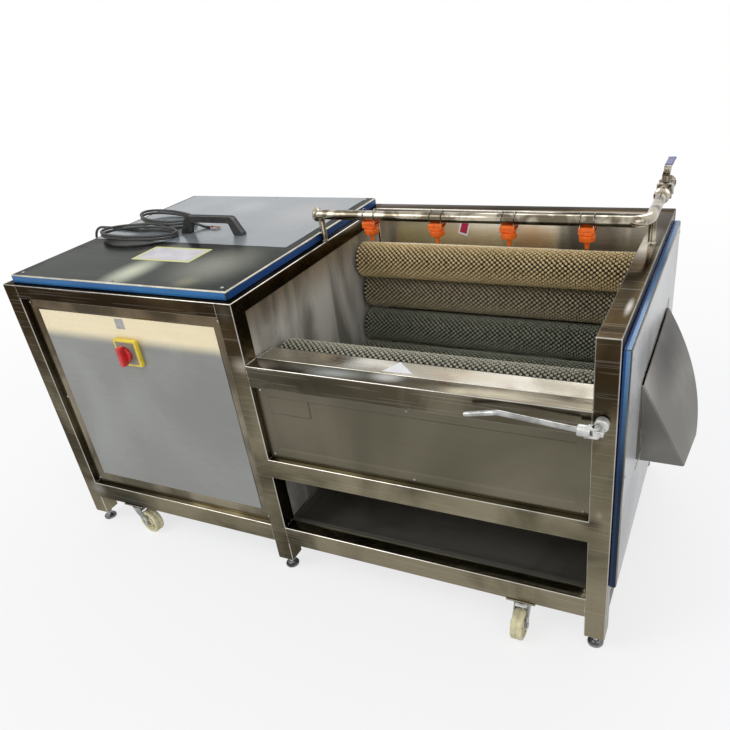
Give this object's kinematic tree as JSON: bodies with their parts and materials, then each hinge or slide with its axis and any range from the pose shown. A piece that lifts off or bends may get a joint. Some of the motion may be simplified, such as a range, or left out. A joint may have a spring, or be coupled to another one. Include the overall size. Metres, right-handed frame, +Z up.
{
  "type": "potato washing and peeling machine",
  "caption": "Floor-standing brush-roller washer and peeler for potatoes, with a drive cabinet, an open tub with brushes and water spray, an outlet flap with chute, castors and levelling feet.",
  "frame": {"origin": "on the floor, under the middle of the machine's outer box, the cord left out", "axes": "+X along the machine towards the outlet end, +Y from the front to the back, +Z up"},
  "size_m": [1.9083, 0.9268, 0.9843],
  "materials": {
    "stainless": "brushed stainless tube, lightly polished welds",
    "sheet": "plain mill-finish stainless sheet",
    "film": "stainless sheet under pale protective film",
    "zinc": "zinc-plated steel",
    "nylon": "cream nylon",
    "brush": "tan nylon bristle on a plastic core",
    "orange": "moulded orange plastic",
    "black": "black moulded plastic and cord sheath",
    "yellow": "yellow switch plate",
    "red": "red rotary knob",
    "blue": "blue sleeve over a steel lever",
    "cast": "cast and bead-blasted stainless steel",
    "motor": "blue enamel"
  },
  "bodies": {
    "machine": {"cabinet_frame": "stainless", "middle_frame": "stainless", "tub_frame": "stainless", "cabinet_front_panel": "film", "cabinet_left_panel": "sheet", "cabinet_rear_panel": "sheet", "top_cover": "film", "cover_handle": "black", "tub_front_panel": "stainless", "tub_left_wall": "sheet", "tub_right_wall": "sheet", "tub_rear_wall": "stainless", "front_apron": "stainless", "catch_tray": "sheet", "end_cover": "film", "discharge_chute": "stainless", "spray_pipe": "stainless", "water_valve": "stainless", "switch_plate": "yellow", "drive_motor": "motor", "cord_gland": "black", "power_cord": "black", "cord_hank": "black", "nozzle_clip_1": "orange", "nozzle_clip_2": "orange", "nozzle_clip_3": "orange", "nozzle_clip_4": "orange"},
    "door": {"door_shaft": "cast", "discharge_flap": "sheet"},
    "lever": {"door_lever": "cast"},
    "valve_lever": {"valve_handle": "blue"},
    "knob": {"switch_knob": "red"},
    "nozzle_1": {"nozzle_tip_1": "orange"},
    "nozzle_2": {"nozzle_tip_2": "orange"},
    "nozzle_3": {"nozzle_tip_3": "orange"},
    "nozzle_4": {"nozzle_tip_4": "orange"},
    "roller_1": {"brush_roller_1": "brush"},
    "roller_2": {"brush_roller_2": "brush"},
    "roller_3": {"brush_roller_3": "brush"},
    "roller_4": {"brush_roller_4": "brush"},
    "roller_5": {"brush_roller_5": "brush"},
    "roller_6": {"brush_roller_6": "brush"},
    "roller_7": {"brush_roller_7": "brush"},
    "roller_8": {"brush_roller_8": "brush"},
    "roller_9": {"brush_roller_9": "brush"},
    "sprocket": {"drive_sprocket": "zinc"},
    "fork_front_left": {"castor_fork_front_left": "zinc"},
    "wheel_front_left": {"castor_wheel_front_left": "nylon"},
    "fork_rear_left": {"castor_fork_rear_left": "zinc"},
    "wheel_rear_left": {"castor_wheel_rear_left": "nylon"},
    "fork_front_right": {"castor_fork_front_right": "zinc"},
    "wheel_front_right": {"castor_wheel_front_right": "nylon"},
    "fork_rear_right": {"castor_fork_rear_right": "zinc"},
    "wheel_rear_right": {"castor_wheel_rear_right": "nylon"},
    "foot_front_left": {"levelling_foot_front_left": "zinc"},
    "foot_rear_left": {"levelling_foot_rear_left": "zinc"},
    "foot_front_middle": {"levelling_foot_front_middle": "zinc"},
    "foot_rear_middle": {"levelling_foot_rear_middle": "zinc"},
    "foot_front_right": {"levelling_foot_front_right": "zinc"},
    "foot_rear_right": {"levelling_foot_rear_right": "zinc"}
  },
  "joints": [
    {"name": "door_swing", "type": "hinge", "parent": "machine", "child": "door", "pos_m": [0.75785, -0.4447, 0.673], "axis": [0, -1, 0], "range_deg": [0, 30]},
    {"name": "lever_fold", "type": "hinge", "parent": "door", "child": "lever", "pos_m": [0.74985, -0.4447, 0.6655], "axis": [0, 0, 1], "range_deg": [0, 90]},
    {"name": "valve_turn", "type": "hinge", "parent": "machine", "child": "valve_lever", "pos_m": [0.76085, 0.3454, 0.9673], "axis": [0, 0, -1], "range_deg": [0, 90]},
    {"name": "knob_turn", "type": "hinge", "parent": "machine", "child": "knob", "pos_m": [-0.51815, -0.4087, 0.678], "axis": [0, -1, 0], "range_deg": [0, 90]},
    {"name": "nozzle_tilt_1", "type": "hinge", "parent": "machine", "child": "nozzle_1", "pos_m": [0.03285, 0.0556, 0.8842], "axis": [1, 0, 0], "range_deg": [-15, 15]},
    {"name": "nozzle_tilt_2", "type": "hinge", "parent": "machine", "child": "nozzle_2", "pos_m": [0.22885, 0.0556, 0.8842], "axis": [1, 0, 0], "range_deg": [-15, 15]},
    {"name": "nozzle_tilt_3", "type": "hinge", "parent": "machine", "child": "nozzle_3", "pos_m": [0.42485, 0.0556, 0.8842], "axis": [1, 0, 0], "range_deg": [-15, 15]},
    {"name": "nozzle_tilt_4", "type": "hinge", "parent": "machine", "child": "nozzle_4", "pos_m": [0.62085, 0.0556, 0.8842], "axis": [1, 0, 0], "range_deg": [-15, 15]},
    {"name": "roller_spin_1", "type": "hinge", "parent": "machine", "child": "roller_1", "pos_m": [-0.10615, 0.23462, 0.73817], "axis": [1, 0, 0], "continuous": true},
    {"name": "roller_spin_2", "type": "hinge", "parent": "machine", "child": "roller_2", "pos_m": [-0.10615, 0.25961, 0.629], "axis": [1, 0, 0], "continuous": true},
    {"name": "roller_spin_3", "type": "hinge", "parent": "machine", "child": "roller_3", "pos_m": [-0.10615, 0.23462, 0.51983], "axis": [1, 0, 0], "continuous": true},
    {"name": "roller_spin_4", "type": "hinge", "parent": "machine", "child": "roller_4", "pos_m": [-0.10615, 0.16465, 0.4324], "axis": [1, 0, 0], "continuous": true},
    {"name": "roller_spin_5", "type": "hinge", "parent": "machine", "child": "roller_5", "pos_m": [-0.10615, 0.06361, 0.3841], "axis": [1, 0, 0], "continuous": true},
    {"name": "roller_spin_6", "type": "hinge", "parent": "machine", "child": "roller_6", "pos_m": [-0.10615, -0.04838, 0.38455], "axis": [1, 0, 0], "continuous": true},
    {"name": "roller_spin_7", "type": "hinge", "parent": "machine", "child": "roller_7", "pos_m": [-0.10615, -0.14902, 0.43366], "axis": [1, 0, 0], "continuous": true},
    {"name": "roller_spin_8", "type": "hinge", "parent": "machine", "child": "roller_8", "pos_m": [-0.10615, -0.21829, 0.52165], "axis": [1, 0, 0], "continuous": true},
    {"name": "roller_spin_9", "type": "hinge", "parent": "machine", "child": "roller_9", "pos_m": [-0.10615, -0.2424, 0.63101], "axis": [1, 0, 0], "continuous": true},
    {"name": "sprocket_spin", "type": "hinge", "parent": "machine", "child": "sprocket", "pos_m": [-0.18315, 0.0086, 0.285], "axis": [1, 0, 0], "continuous": true},
    {"name": "castor_swivel_front_left", "type": "hinge", "parent": "machine", "child": "fork_front_left", "pos_m": [-0.71515, -0.3874, 0.0977], "axis": [0, 0, 1], "continuous": true},
    {"name": "wheel_roll_front_left", "type": "hinge", "parent": "fork_front_left", "child": "wheel_front_left", "pos_m": [-0.6795, -0.39241, 0.04], "axis": [0.1392, 0.9903, 0], "continuous": true},
    {"name": "castor_swivel_rear_left", "type": "hinge", "parent": "machine", "child": "fork_rear_left", "pos_m": [-0.71515, 0.4046, 0.0977], "axis": [0, 0, 1], "continuous": true},
    {"name": "wheel_roll_rear_left", "type": "hinge", "parent": "fork_rear_left", "child": "wheel_rear_left", "pos_m": [-0.74898, 0.41691, 0.04], "axis": [-0.342, -0.9397, 0], "continuous": true},
    {"name": "castor_swivel_front_right", "type": "hinge", "parent": "machine", "child": "fork_front_right", "pos_m": [0.57685, -0.3874, 0.0977], "axis": [0, 0, 1], "continuous": true},
    {"name": "wheel_roll_front_right", "type": "hinge", "parent": "fork_front_right", "child": "wheel_front_right", "pos_m": [0.57685, -0.4234, 0.04], "axis": [1, 0, 0], "continuous": true},
    {"name": "castor_swivel_rear_right", "type": "hinge", "parent": "machine", "child": "fork_rear_right", "pos_m": [0.57685, 0.4046, 0.0977], "axis": [0, 0, 1], "continuous": true},
    {"name": "wheel_roll_rear_right", "type": "hinge", "parent": "fork_rear_right", "child": "wheel_rear_right", "pos_m": [0.61068, 0.41691, 0.04], "axis": [-0.342, 0.9397, 0], "continuous": true},
    {"name": "foot_screw_front_left", "type": "slide", "parent": "machine", "child": "foot_front_left", "axis": [0, 0, 1], "range_m": [-0.025, 0.008]},
    {"name": "foot_screw_rear_left", "type": "slide", "parent": "machine", "child": "foot_rear_left", "axis": [0, 0, 1], "range_m": [-0.025, 0.008]},
    {"name": "foot_screw_front_middle", "type": "slide", "parent": "machine", "child": "foot_front_middle", "axis": [0, 0, 1], "range_m": [-0.025, 0.008]},
    {"name": "foot_screw_rear_middle", "type": "slide", "parent": "machine", "child": "foot_rear_middle", "axis": [0, 0, 1], "range_m": [-0.025, 0.008]},
    {"name": "foot_screw_front_right", "type": "slide", "parent": "machine", "child": "foot_front_right", "axis": [0, 0, 1], "range_m": [-0.025, 0.008]},
    {"name": "foot_screw_rear_right", "type": "slide", "parent": "machine", "child": "foot_rear_right", "axis": [0, 0, 1], "range_m": [-0.025, 0.008]}
  ],
  "couplings": [
    {"joint": "roller_spin_2", "follows": "roller_spin_1", "ratio": 1},
    {"joint": "roller_spin_3", "follows": "roller_spin_1", "ratio": 1},
    {"joint": "roller_spin_4", "follows": "roller_spin_1", "ratio": 1},
    {"joint": "roller_spin_5", "follows": "roller_spin_1", "ratio": 1},
    {"joint": "roller_spin_6", "follows": "roller_spin_1", "ratio": 1},
    {"joint": "roller_spin_7", "follows": "roller_spin_1", "ratio": 1},
    {"joint": "roller_spin_8", "follows": "roller_spin_1", "ratio": 1},
    {"joint": "roller_spin_9", "follows": "roller_spin_1", "ratio": 1},
    {"joint": "sprocket_spin", "follows": "roller_spin_1", "ratio": 0.8}
  ]
}
